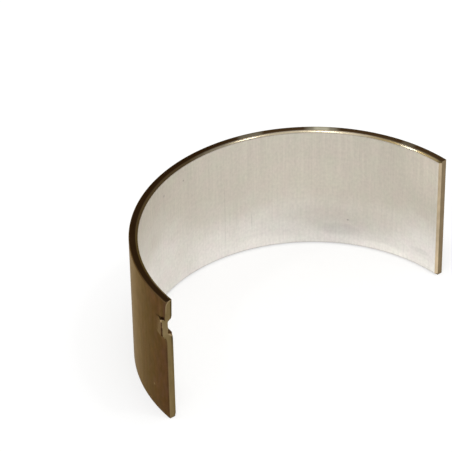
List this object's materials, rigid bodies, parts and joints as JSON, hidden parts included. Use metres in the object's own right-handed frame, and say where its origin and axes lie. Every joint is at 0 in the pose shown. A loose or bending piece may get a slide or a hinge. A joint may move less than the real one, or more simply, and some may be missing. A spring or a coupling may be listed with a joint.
{
  "type": "engine bearing shell",
  "caption": "Thin half-round plain bearing shell with a satin lining, bevelled bore edges and a pressed locating lug, for lining the split housing of an engine journal.",
  "frame": {"origin": "on the bore's axis at mid width", "axes": "+Z along the shaft towards the rim nearer the lug, +Y towards the crown, the lug's joint face at -X and the plain one at +X"},
  "size_m": [0.0622, 0.0298, 0.0242],
  "materials": {
    "bearing_metal": "satin silver-grey lining, bronze-brown back and bright bevels"
  },
  "bodies": {
    "root": {"bearing_shell": "bearing_metal"}
  },
  "joints": []
}
